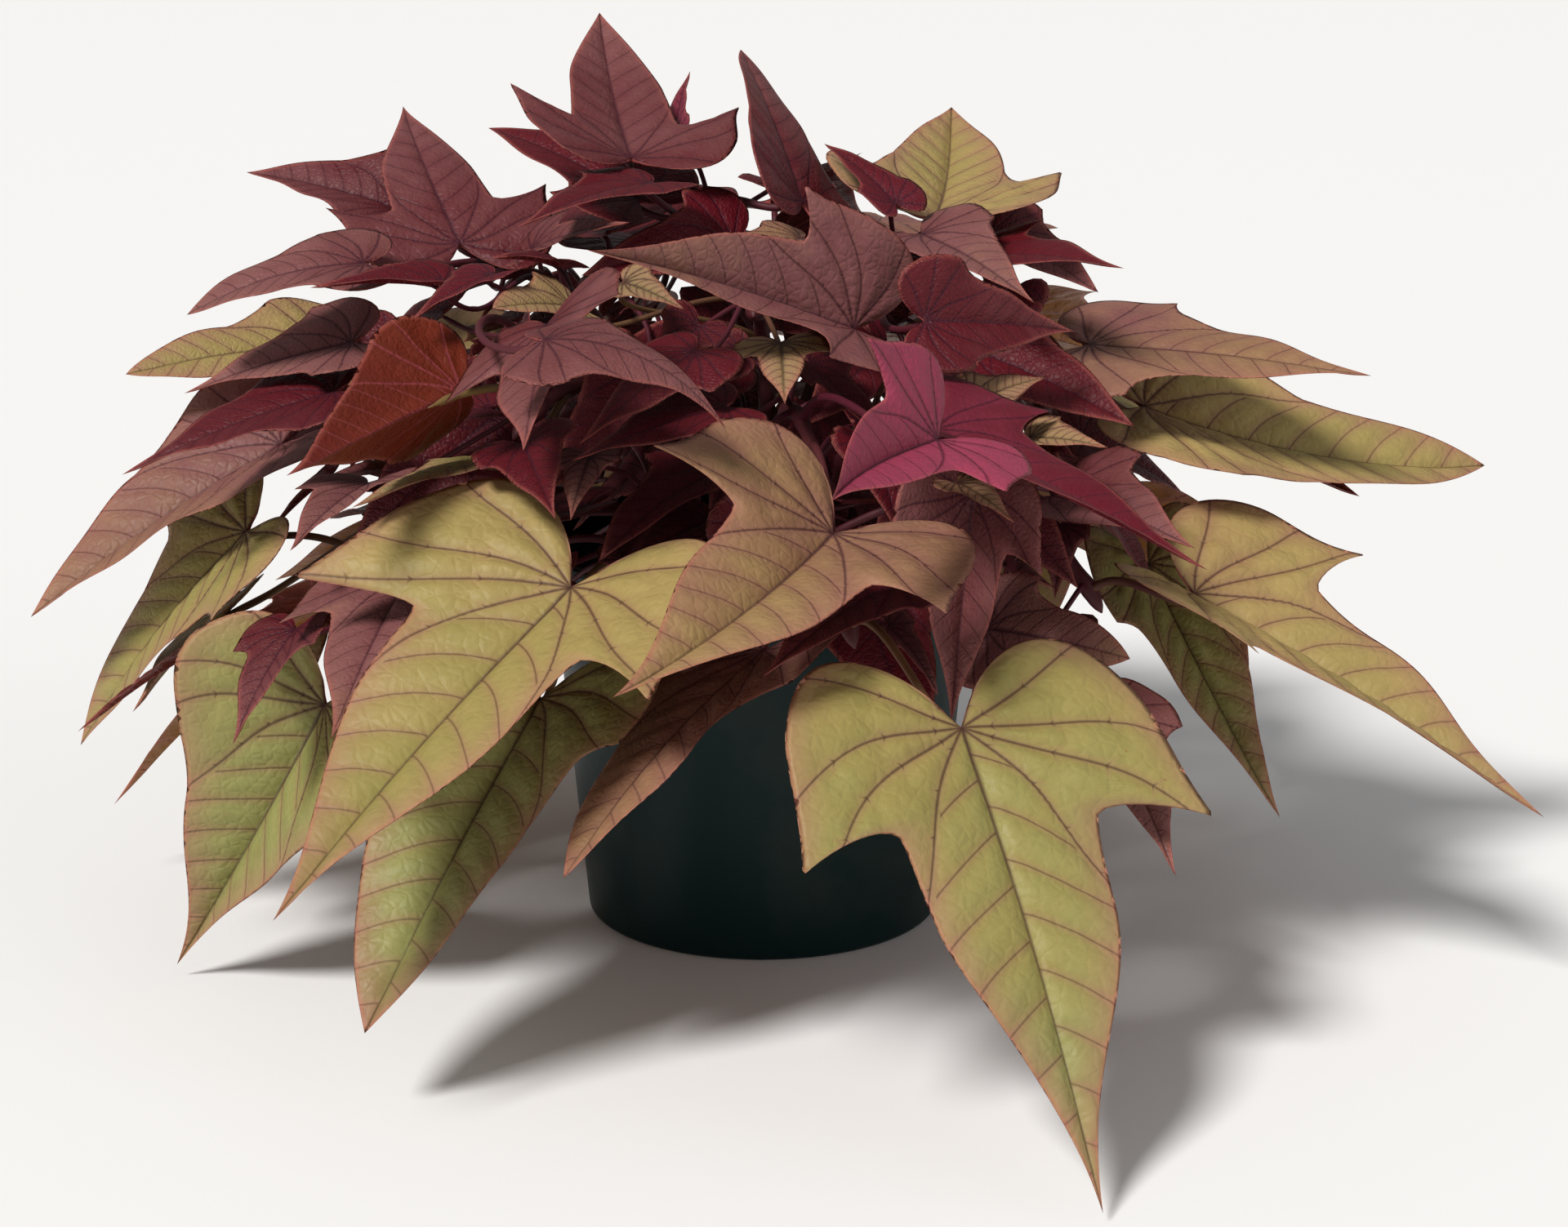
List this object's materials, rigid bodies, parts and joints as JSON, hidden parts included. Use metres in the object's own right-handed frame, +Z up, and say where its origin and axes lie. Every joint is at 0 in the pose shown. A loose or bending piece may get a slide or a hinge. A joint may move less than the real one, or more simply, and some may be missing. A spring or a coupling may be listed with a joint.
{
  "type": "sweet potato vine in a nursery pot",
  "caption": "Sweet potato vine in a plain round nursery pot: a low mound of heart-shaped and lobed leaves, green-gold to plum, on stems that lean out over the rim.",
  "frame": {"origin": "centre of the pot's underside, on the surface that it stands on", "axes": "+Z up along the pot's axis, -Y towards the viewer in front of the plant, +X to the viewer's right"},
  "size_m": [0.4004, 0.4223, 0.2473],
  "materials": {
    "pot_plastic": "satin",
    "potting_soil": "matte",
    "foliage_green_gold": "satin",
    "foliage_gold_bronze": "satin",
    "foliage_plum": "satin",
    "foliage_magenta": "satin"
  },
  "bodies": {
    "root": {"pot": "pot_plastic", "soil": "potting_soil", "leafy_stem_front_low": "foliage_green_gold", "leafy_stem_front_left_low": "foliage_green_gold", "leafy_stem_front_mid": "foliage_gold_bronze", "leafy_stem_front_right_mid": "foliage_magenta", "leafy_stem_left_mid": "foliage_plum", "leafy_stem_far_left": "foliage_plum", "leafy_stem_left_low": "foliage_green_gold", "leafy_stem_right_mid": "foliage_plum", "leafy_stem_right_low": "foliage_gold_bronze", "leafy_stem_far_right": "foliage_gold_bronze", "leafy_stem_crown_front": "foliage_gold_bronze", "leafy_stem_crown_top": "foliage_plum", "leafy_stem_crown_right": "foliage_plum", "leafy_stem_crown_left": "foliage_plum", "leafy_stem_back_right": "foliage_green_gold", "leafy_stem_back_mid": "foliage_green_gold", "leafy_stem_back_left": "foliage_gold_bronze", "leafy_stem_far_back_left": "foliage_plum"}
  },
  "joints": []
}
